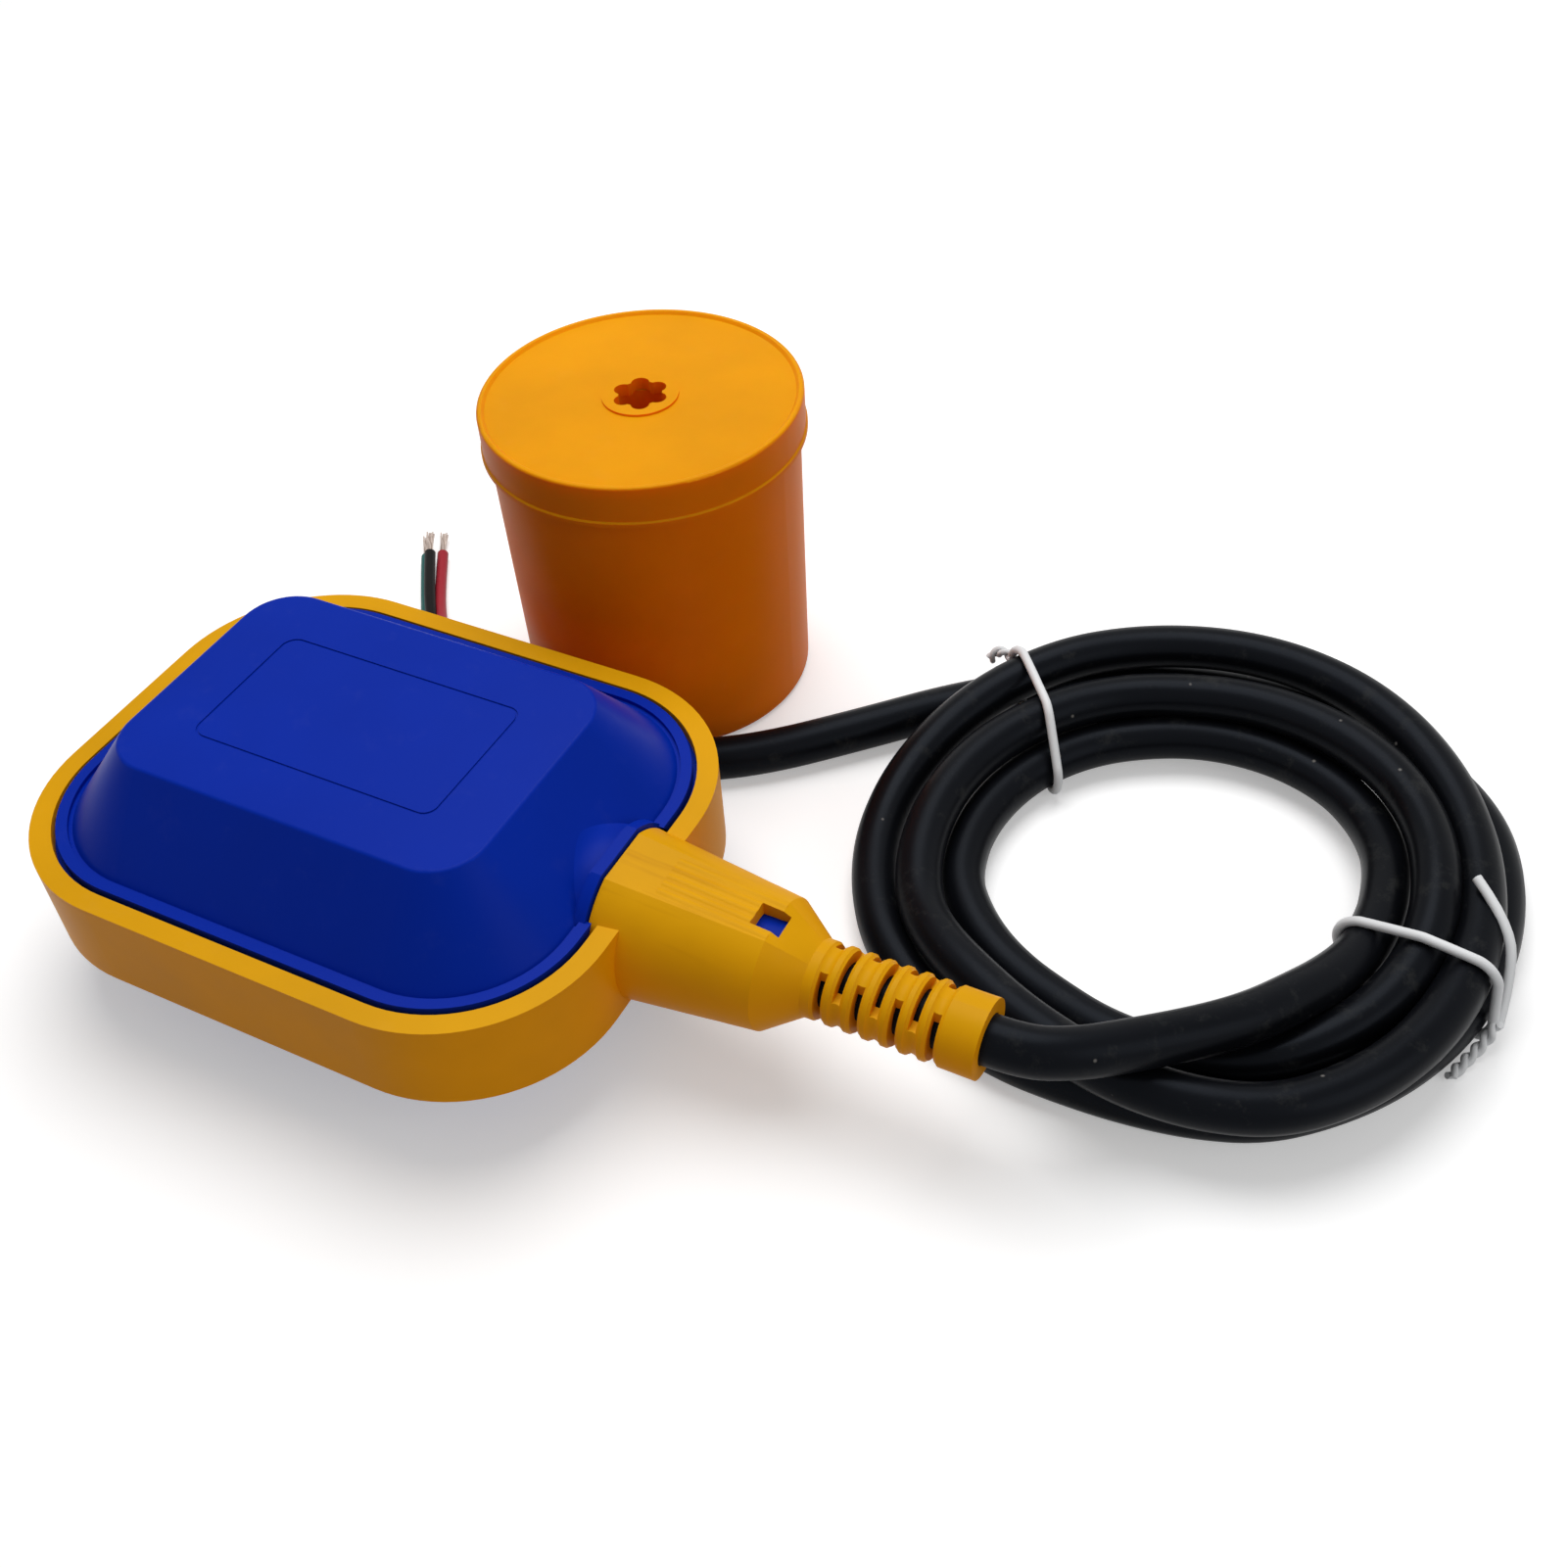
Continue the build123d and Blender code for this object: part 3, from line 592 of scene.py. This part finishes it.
def flow_marks_group():
    """Fine flow lines along X, in a strip of a moulding between two places: a mask."""
    group, start, end = new_group(
        "Flow marks",
        (
            ("Vector", "NodeSocketVector", None),
            ("Amount", "NodeSocketFloat", 0.5),
            ("Start", "NodeSocketFloat", 0.0),
            ("End", "NodeSocketFloat", 1.0),
            ("Middle", "NodeSocketFloat", 0.0),
            ("Half Width", "NodeSocketFloat", 1.0),
        ),
        (("Mask", "NodeSocketFloat"),),
    )
    given = start.outputs
    stretch = group.nodes.new("ShaderNodeMapping")
    feed(group, stretch.inputs["Scale"], (36.0, 560.0, 240.0))
    feed(group, stretch.inputs["Vector"], given["Vector"])
    lines = noise(group, stretch.outputs["Vector"], 1.0, 2.0)
    place_on = group.nodes.new("ShaderNodeSeparateXYZ")
    feed(group, place_on.inputs["Vector"], given["Vector"])
    along, across = place_on.outputs["X"], place_on.outputs["Y"]
    rise = math_node(group, "GREATER_THAN", along, given["Start"])
    fade = map_range(group, along, given["Start"], given["End"], 1.0, 0.0)
    strip = math_node(group, "COMPARE", across, given["Middle"], given["Half Width"])
    level = map_range(group, lines, 0.5, 0.68)
    for other in (rise, fade, strip, given["Amount"]):
        level = math_node(group, "MULTIPLY", level, other)
    feed(group, end.inputs["Mask"], level)
    return group


def moulded_material(
    name,
    colour,
    groups,
    gloss=0.3,
    scuffs=0.2,
    shade=0.08,
    sheen=0.25,
    side=None,
    glow=0.0,
    marks=None,
):
    """Moulded plastic in one colour, with grain, shade and scuffs, and flow marks on request."""
    material, tree, shader = new_material(name)
    feed(tree, shader.inputs["Specular IOR Level"], sheen)
    surface = place_group(
        tree,
        groups["moulded"],
        Colour=(*colour, 1.0),
        Gloss=gloss,
        Grain=0.3,
        Scuffs=scuffs,
        Shade=shade,
        # Side shade colour and its level: painted shade on steep sides
        Side_Colour=(*(side or colour), 1.0),
        Side=1.0 if side else 0.0,
    )
    tone = surface.outputs["Colour"]
    if glow:
        feed(tree, shader.inputs["Subsurface Weight"], glow)
        feed(tree, shader.inputs["Subsurface Radius"], (1.0, 0.2, 0.03))
        feed(tree, shader.inputs["Subsurface Scale"], 3.0 * MM)
    if marks:
        lines = place_group(tree, groups["marks"], Amount=0.42, **marks)
        tone = mix_colours(tree, lines.outputs["Mask"], tone, MARK_COLOUR, "MULTIPLY")
    finish_shader(tree, shader, surface, tone, 0.08, 0.3 * MM)
    return material


def jacket_material(name, colour, groups):
    """Black rubber jacket: fine grain and a few specks of dust."""
    material, tree, shader = new_material(name)
    feed(tree, shader.inputs["Specular IOR Level"], 0.07)
    feed(tree, shader.inputs["Specular Tint"], (0.72, 0.82, 1.0, 1.0))
    surface = place_group(
        tree,
        groups["moulded"],
        Colour=(*colour, 1.0),
        Gloss=0.24,
        Grain=0.5,
        Scuffs=0.15,
        Shade=0.2,
    )
    dust = place_group(tree, groups["dust"], Amount=0.025)
    speckled = mix_colours(tree, dust.outputs["Mask"], surface.outputs["Colour"], DUST_COLOUR)
    finish_shader(tree, shader, surface, speckled, 0.12, 0.2 * MM)
    return material


def metal_material(name, colour, groups, gloss=0.22):
    """Metal in one colour, with fine grain and scuffs."""
    material, tree, shader = new_material(name)
    feed(tree, shader.inputs["Metallic"], 1.0)
    surface = place_group(
        tree, groups["moulded"], Colour=(*colour, 1.0), Gloss=gloss, Grain=0.6, Scuffs=0.3
    )
    finish_shader(tree, shader, surface, surface.outputs["Colour"], 0.06, 0.1 * MM)
    return material


def dress(piece, material):
    """Give every material slot of a piece this material."""
    if not piece.material_slots:
        piece.data.materials.append(material)
    for piece_slot in piece.material_slots:
        piece_slot.material = material


def build_materials():
    """Every finish of the float switch, by the name of its slot in the record."""
    looks = bpy.context.scene.float_switch_finish
    groups = {
        "moulded": moulded_surface_group(),
        "dust": dust_group(),
        "marks": flow_marks_group(),
    }
    return {
        "yellow_moulding": moulded_material(
            "Yellow moulding",
            looks.yellow,
            groups,
            scuffs=0.06,
            sheen=0.05,
            # Painted shade on the steep sides
            side=YELLOW_SIDE_SHADE,
            marks={
                "Start": (FLOAT_X + 46.5) * MM,
                "End": (FLOAT_X + 72.0) * MM,
                "Middle": FLOAT_Y * MM,
                "Half_Width": 9.5 * MM,
            },
        ),
        "blue_shell": moulded_material(
            "Blue shell", looks.blue, groups, gloss=0.24, scuffs=0.05, shade=0.05, sheen=0.04
        ),
        "orange_moulding": moulded_material(
            "Orange moulding",
            looks.orange,
            groups,
            scuffs=0.06,
            sheen=0.04,
            # Painted shade on the steep sides
            side=ORANGE_SIDE_SHADE,
            glow=0.25,
        ),
        "cable_jacket": jacket_material("Cable jacket", looks.jacket, groups),
        "core_black": moulded_material("Black core", (0.008, 0.007, 0.007), groups, sheen=0.06),
        "core_red": moulded_material("Red core", (0.34, 0.022, 0.035), groups, sheen=0.1),
        "core_green": moulded_material("Green core", (0.01, 0.11, 0.10), groups, sheen=0.1),
        "copper_strands": metal_material("Copper strands", (0.50, 0.41, 0.36), groups),
        "tie_plastic": moulded_material("Tie coating", (0.78, 0.79, 0.80), groups, gloss=0.34),
        "seal_rubber": moulded_material("Seal rubber", (0.02, 0.02, 0.02), groups, gloss=0.5),
        "inner_plastic": moulded_material("Inner plastic", (0.75, 0.74, 0.70), groups),
        "switch_plastic": moulded_material("Switch plastic", (0.03, 0.03, 0.032), groups),
        "button_plastic": moulded_material("Button plastic", (0.55, 0.06, 0.03), groups),
        "spring_steel": metal_material("Spring steel", (0.66, 0.66, 0.64), groups),
        "screw_steel": metal_material("Screw steel", (0.58, 0.58, 0.56), groups),
        "terminal_brass": metal_material("Terminal brass", (0.80, 0.60, 0.28), groups),
        "ball_steel": metal_material("Ball steel", (0.62, 0.62, 0.61), groups, gloss=0.08),
        "ballast_iron": metal_material("Ballast iron", (0.20, 0.19, 0.18), groups, gloss=0.45),
    }


# Cables and ties


def new_curve(name, steps, sides):
    """An empty round curve, one unit deep, with so many steps and bevel sides."""
    curve = bpy.data.curves.new(name, "CURVE")
    curve.dimensions = "3D"
    curve.resolution_u = steps
    curve.bevel_depth = 1.0
    curve.bevel_resolution = sides
    curve.use_fill_caps = True
    return curve


def add_spline(curve, points, radius):
    """A smooth line of this radius in a curve whose bevel is one unit deep."""
    spline = curve.splines.new("NURBS")
    spline.points.add(len(points) - 1)
    for control, point in zip(spline.points, points):
        control.co = (*point, 1.0)
        control.radius = radius
    spline.order_u = 3
    spline.use_endpoint_u = True
    return spline


def cord_curve(name, points, diameter, smoothness):
    """A smooth round cord along its route's points."""
    curve = new_curve(name, smoothness, 6)
    add_spline(curve, points, diameter / 2)
    cord = bpy.data.objects.new(name, curve)
    bpy.context.scene.collection.objects.link(cord)
    return cord


def between_stations(angle):
    """Radius and height of the coil's turn at this angle, between the two nearest stations."""
    for low, high in zip(COIL_TURNS, COIL_TURNS[1:]):
        if angle <= high[0]:
            share = (angle - low[0]) / (high[0] - low[0])
            return (
                low[1] + share * (high[1] - low[1]),
                low[2] + share * (high[2] - low[2]),
            )
    return COIL_TURNS[-1][1:]


def cable_route():
    """Control points of the whole cable: lead, the coil's turns and the tail."""
    route = [place(*point) for point in LEAD_ROUTE]
    for angle in range(COIL_TURNS[0][0], COIL_TURNS[-1][0] + 1, COIL_STEP):
        radius, height = between_stations(angle)
        route.append(coil_place(angle, radius, height))
    route += [place(x, y, TAIL_HEIGHT) for x, y in TAIL_ROUTE]
    return route


def strand_wires(name, end, direction, reach, count):
    """Fine wires that fan out from the end of a core, as one mesh."""
    curve = new_curve(name, 4, 2)
    side = direction.cross(Vector((0, 0, 1))).normalized()
    up = side.cross(direction).normalized()
    for index in range(count):
        turn = WIRE_TURN * index
        spread = WIRE_OFFSET * (index / count) ** 0.5
        offset = (side * cos(turn) + up * sin(turn)) * MM
        flare = 1.0 + WIRE_FLARE * ((index * 7) % 5) / 5
        length = reach * (WIRE_SHORTEST + (1 - WIRE_SHORTEST) * ((index * 3) % 4) / 3)
        swirl = (side * cos(turn + WIRE_SWIRL) + up * sin(turn + WIRE_SWIRL)) * MM
        stops = (
            end - direction * MM + offset * spread,
            end + direction * length * 0.35 + offset * spread,
            end + direction * length * 0.7 + swirl * spread * flare,
            end + direction * length + swirl * spread * flare * WIRE_TIP_SPREAD,
        )
        add_spline(curve, stops, WIRE_RADIUS * MM)
    return as_mesh(name, curve)


def as_mesh(name, curve):
    """Turn a curve into a finished mesh piece."""
    holder = bpy.data.objects.new(name + "_line", curve)
    mesh = bpy.data.meshes.new_from_object(holder)
    bpy.data.objects.remove(holder)
    bpy.data.curves.remove(curve)
    mesh.name = name
    for polygon in mesh.polygons:
        polygon.use_smooth = True
    piece = bpy.data.objects.new(name, mesh)
    bpy.context.scene.collection.objects.link(piece)
    return piece


def smooth_line(points):
    """Points along the smooth line of a route."""
    curve = bpy.data.curves.new("route", "CURVE")
    curve.dimensions = "3D"
    add_spline(curve, points, 1.0)
    holder = bpy.data.objects.new("route", curve)
    mesh = bpy.data.meshes.new_from_object(holder)
    line = [vertex.co.copy() for vertex in mesh.vertices]
    bpy.data.objects.remove(holder)
    bpy.data.curves.remove(curve)
    bpy.data.meshes.remove(mesh)
    return line


def twisted_line(line, offset, pitch, start_turn):
    """A helix round a line: one of the two wires of a twist."""
    wound = []
    travelled = 0.0
    for index, point in enumerate(line):
        before = line[max(index - 1, 0)]
        after = line[min(index + 1, len(line) - 1)]
        ahead = (after - before).normalized()
        side = ahead.cross(Vector((0, 0, 1))).normalized()
        up = side.cross(ahead)
        travelled += (point - before).length
        turn = start_turn + 2 * pi * travelled / pitch
        wound.append(point + offset * (side * cos(turn) + up * sin(turn)))
    return wound


def turns_at(angle):
    """Radius and height of every turn of the coil that passes this angle."""
    found = []
    turn_angle = angle
    while turn_angle <= COIL_TURNS[-1][0]:
        if turn_angle >= COIL_TURNS[0][0]:
            found.append(between_stations(turn_angle))
        turn_angle += 360.0
    return found


def tie_outline(angle, clearance, lowest, steps=40):
    """Radius and height of points round the turns at this angle, clear of turns and floor."""
    turns = turns_at(angle)
    outline = []
    for index in range(steps):
        turn = 2 * pi * index / steps
        ray = (cos(turn), sin(turn))
        radius, height = max(turns, key=lambda item: item[0] * ray[0] + item[1] * ray[1])
        outline.append((radius + clearance * ray[0], max(height + clearance * ray[1], lowest)))
    return outline


def main():
    """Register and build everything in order."""
    register()
    bpy.ops.float_switch.add_stage()
    bpy.ops.float_switch.add_cable()
    bpy.ops.float_switch.add_cores()
    bpy.ops.float_switch.add_ties()
    bpy.ops.float_switch.finish_pieces()
    bpy.context.view_layer.update()


class FLOATSWITCH_OT_add_stage(bpy.types.Operator):
    """Add the floor, the studio light and the camera"""

    bl_idname = "float_switch.add_stage"
    bl_label = "Add Stage"

    def execute(self, context):
        studio = context.scene.float_switch_studio
        remove_default_scene()
        self.add_camera(context)
        self.add_floor(context)
        self.add_world(context, studio.world_level)
        self.add_lamp(context, "Key", KEY_PLACE, KEY_SIZE, studio.key_power)
        self.add_lamp(context, "Fill", FILL_PLACE, FILL_SIZE, studio.fill_power)
        context.scene.view_settings.view_transform = "Standard"
        return {"FINISHED"}

    def add_camera(self, context):
        """The photograph's own view of the object."""
        azimuth, pitch, roll = map(radians, (CAMERA_AZIMUTH, CAMERA_PITCH, CAMERA_ROLL))
        ahead = Vector((-sin(azimuth) * cos(pitch), cos(azimuth) * cos(pitch), -sin(pitch)))
        right = Vector((cos(azimuth), sin(azimuth), 0))
        up = right.cross(ahead)
        across = cos(roll) * right + sin(roll) * up
        above = -sin(roll) * right + cos(roll) * up
        turned = Matrix((across, above, -ahead)).transposed().to_4x4()
        data = bpy.data.cameras.new("Camera")
        data.lens = CAMERA_LENS
        data.sensor_width = CAMERA_SENSOR
        data.clip_start = 0.01
        camera = bpy.data.objects.new("Camera", data)
        camera.matrix_world = Matrix.Translation(Vector(CAMERA_PLACE) * MM) @ turned
        context.scene.collection.objects.link(camera)
        context.scene.camera = camera

    def add_floor(self, context):
        """A plain pale floor that keeps the object's shadow."""
        mesh = bpy.data.meshes.new("floor")
        grid = bmesh.new()
        bmesh.ops.create_grid(grid, x_segments=1, y_segments=1, size=FLOOR_HALF)
        grid.to_mesh(mesh)
        grid.free()
        mesh.materials.append(self.floor_material())
        floor = bpy.data.objects.new("floor", mesh)
        floor.location.z = -FLOOR_GAP * MM
        context.scene.collection.objects.link(floor)
        floor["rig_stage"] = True

    def floor_material(self):
        """A matte floor that looks paler to the camera than it is to the light."""
        material = bpy.data.materials.new("Pale floor")
        material.use_nodes = True
        tree = material.node_tree
        tree.nodes.clear()
        output = tree.nodes.new("ShaderNodeOutputMaterial")
        matte = tree.nodes.new("ShaderNodeBsdfDiffuse")
        glow = tree.nodes.new("ShaderNodeEmission")
        both = tree.nodes.new("ShaderNodeAddShader")
        seen = self.seen_mask(tree)
        feed(tree, matte.inputs["Color"], map_range(tree, seen, 0.0, 1.0, 0.5, 0.86))
        # The floor glows more, the farther it is from the object, so that its end doesn't show
        coordinates = tree.nodes.new("ShaderNodeTexCoord")
        distance = tree.nodes.new("ShaderNodeVectorMath")
        distance.operation = "LENGTH"
        feed(tree, distance.inputs["Vector"], coordinates.outputs["Object"])
        away = map_range(tree, distance.outputs["Value"], GLOW_FROM, GLOW_TO, 0.34, 0.8)
        feed(tree, glow.inputs["Strength"], math_node(tree, "MULTIPLY", seen, away))
        feed(tree, both.inputs[0], matte.outputs["BSDF"])
        feed(tree, both.inputs[1], glow.outputs["Emission"])
        feed(tree, output.inputs["Surface"], both.outputs["Shader"])
        return material

    def seen_mask(self, tree):
        """1 for rays from the camera and for mirrored or refracted ones, and 0 for the rest."""
        rays = tree.nodes.new("ShaderNodeLightPath").outputs
        seen = math_node(tree, "MAXIMUM", rays["Is Camera Ray"], rays["Is Glossy Ray"])
        return math_node(tree, "MAXIMUM", seen, rays["Is Transmission Ray"])

    def add_world(self, context, level):
        """A white background that lights the object softly."""
        world = bpy.data.worlds.new("Studio")
        context.scene.world = world
        world.use_nodes = True
        tree = world.node_tree
        tree.nodes.clear()
        output = tree.nodes.new("ShaderNodeOutputWorld")
        background = tree.nodes.new("ShaderNodeBackground")
        feed(tree, background.inputs["Color"], (1.0, 1.0, 1.0, 1.0))
        strength = map_range(tree, self.seen_mask(tree), 0.0, 1.0, level, 1.0)
        feed(tree, background.inputs["Strength"], strength)
        feed(tree, output.inputs["Surface"], background.outputs["Background"])

    def add_lamp(self, context, name, spot, size, power):
        """A large soft lamp, aimed at the object."""
        data = bpy.data.lights.new(name, "AREA")
        data.shape = "DISK"
        data.size = size * MM
        data.energy = power
        lamp = bpy.data.objects.new(name, data)
        spot = Vector(spot) * MM
        lamp.location = spot
        aim = Vector(LAMP_TARGET) * MM - spot
        lamp.rotation_euler = aim.to_track_quat("-Z", "Y").to_euler()
        context.scene.collection.objects.link(lamp)


class FLOATSWITCH_OT_add_cable(bpy.types.Operator):
    """Add the cable, from the strain relief round its coil to its stripped end"""

    bl_idname = "float_switch.add_cable"
    bl_label = "Add Cable"

    def execute(self, context):
        sizes = context.scene.float_switch_cable
        cable = cord_curve("cable", cable_route(), sizes.diameter, sizes.smoothness)
        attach(cable, BODY)
        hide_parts("cable_lead", "cable_coil", "cable_tail")
        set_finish(cable, "cable_jacket")
        return {"FINISHED"}


class FLOATSWITCH_OT_add_cores(bpy.types.Operator):
    """Add the three insulated cores and their bare ends"""

    bl_idname = "float_switch.add_cores"
    bl_label = "Add Cores"

    def execute(self, context):
        sizes = context.scene.float_switch_cable
        for colour, route in CORE_ROUTES.items():
            points = [place(*point) for point in route]
            core = cord_curve(f"{colour}_core", points, sizes.core_diameter, sizes.smoothness)
            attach(core, BODY)
            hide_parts(f"core_{colour}")
            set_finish(core, f"core_{colour}")
            direction = (points[-1] - points[-2]).normalized()
            wires = strand_wires(
                f"{colour}_wires", points[-1], direction, WIRE_REACH * MM, sizes.wire_count
            )
            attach(wires, BODY)
            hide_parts(f"strands_{colour}")
            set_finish(wires, "copper_strands")
        return {"FINISHED"}


class FLOATSWITCH_OT_add_ties(bpy.types.Operator):
    """Add the two coated wire ties round the coil, with their twisted ends"""

    bl_idname = "float_switch.add_ties"
    bl_label = "Add Ties"

    def execute(self, context):
        sizes = context.scene.float_switch_ties
        radius = sizes.thickness / 2
        end_radius = sizes.end_thickness / 2
        for node, tie in TIES.items():
            curve = new_curve(node, 4, 3)
            self.add_loop(curve, tie, radius, context)
            twist = smooth_line([coil_place(*point) for point in tie["twist"]])
            for start_turn in (0, pi):
                wound = twisted_line(twist, end_radius, sizes.twist_pitch, start_turn)
                add_spline(curve, wound, end_radius)
            if tie["tail"]:
                add_spline(curve, [coil_place(*point) for point in tie["tail"]], radius)
            piece = as_mesh(f"{node}_wire", curve)
            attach(piece, BODY)
            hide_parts(node)
            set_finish(piece, "tie_plastic")
        return {"FINISHED"}

    def add_loop(self, curve, tie, radius, context):
        """The closed loop of a tie round the coil's turns."""
        cable_radius = context.scene.float_switch_cable.diameter / 2
        outline = tie_outline(tie["angle"], (cable_radius + radius) / MM, radius / MM)
        widest = max(distance for distance, height in outline)
        narrowest = min(distance for distance, height in outline)
        points = []
        for distance, height in outline:
            share = (widest - distance) / (widest - narrowest)
            angle = tie["angle"] + tie["lean"] * share + tie["bow"] * 4 * share * (1 - share)
            points.append(coil_place(angle, distance, height))
        loop = add_spline(curve, points, radius)
        loop.use_cyclic_u = True


class FLOATSWITCH_OT_finish_pieces(bpy.types.Operator):
    """Give every piece its procedural finish"""

    bl_idname = "float_switch.finish_pieces"
    bl_label = "Finish Pieces"

    def execute(self, context):
        materials = build_materials()
        for entry in frame["record"]["subparts"]:
            dress(frame["nodes"][entry["node"]], materials[entry["material_slot"]])
        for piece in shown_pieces():
            if "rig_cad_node" not in piece:
                dress(piece, materials[piece["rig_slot"]])
        return {"FINISHED"}


class FLOATSWITCH_PT_panel(bpy.types.Panel):
    """Lists the settings and the steps in the sidebar"""

    bl_label = "Cable Float Switch"
    bl_idname = "FLOATSWITCH_PT_panel"
    bl_space_type = "VIEW_3D"
    bl_region_type = "UI"
    bl_category = "Float Switch"

    def draw(self, context):
        for group, step in STEPS:
            box = self.layout.box()
            settings = getattr(context.scene, group)
            for label in settings.__annotations__:
                box.prop(settings, label)
            box.operator(step.bl_idname)


STEPS = (
    ("float_switch_studio", FLOATSWITCH_OT_add_stage),
    ("float_switch_cable", FLOATSWITCH_OT_add_cable),
    ("float_switch_cable", FLOATSWITCH_OT_add_cores),
    ("float_switch_ties", FLOATSWITCH_OT_add_ties),
    ("float_switch_finish", FLOATSWITCH_OT_finish_pieces),
)
SETTINGS = {
    "float_switch_cable": CableSettings,
    "float_switch_ties": TieSettings,
    "float_switch_finish": FinishSettings,
    "float_switch_studio": StudioSettings,
}
PARTS = (*SETTINGS.values(), *(step for _, step in STEPS), FLOATSWITCH_PT_panel)


def register():
    """Register the settings, the steps and the panel."""
    for part in PARTS:
        bpy.utils.register_class(part)
    for name, settings in SETTINGS.items():
        setattr(bpy.types.Scene, name, PointerProperty(type=settings))


def unregister():
    """Take the settings, the steps and the panel out again."""
    for name in SETTINGS:
        delattr(bpy.types.Scene, name)
    for part in reversed(PARTS):
        bpy.utils.unregister_class(part)


if __name__ == "__main__":
    main()
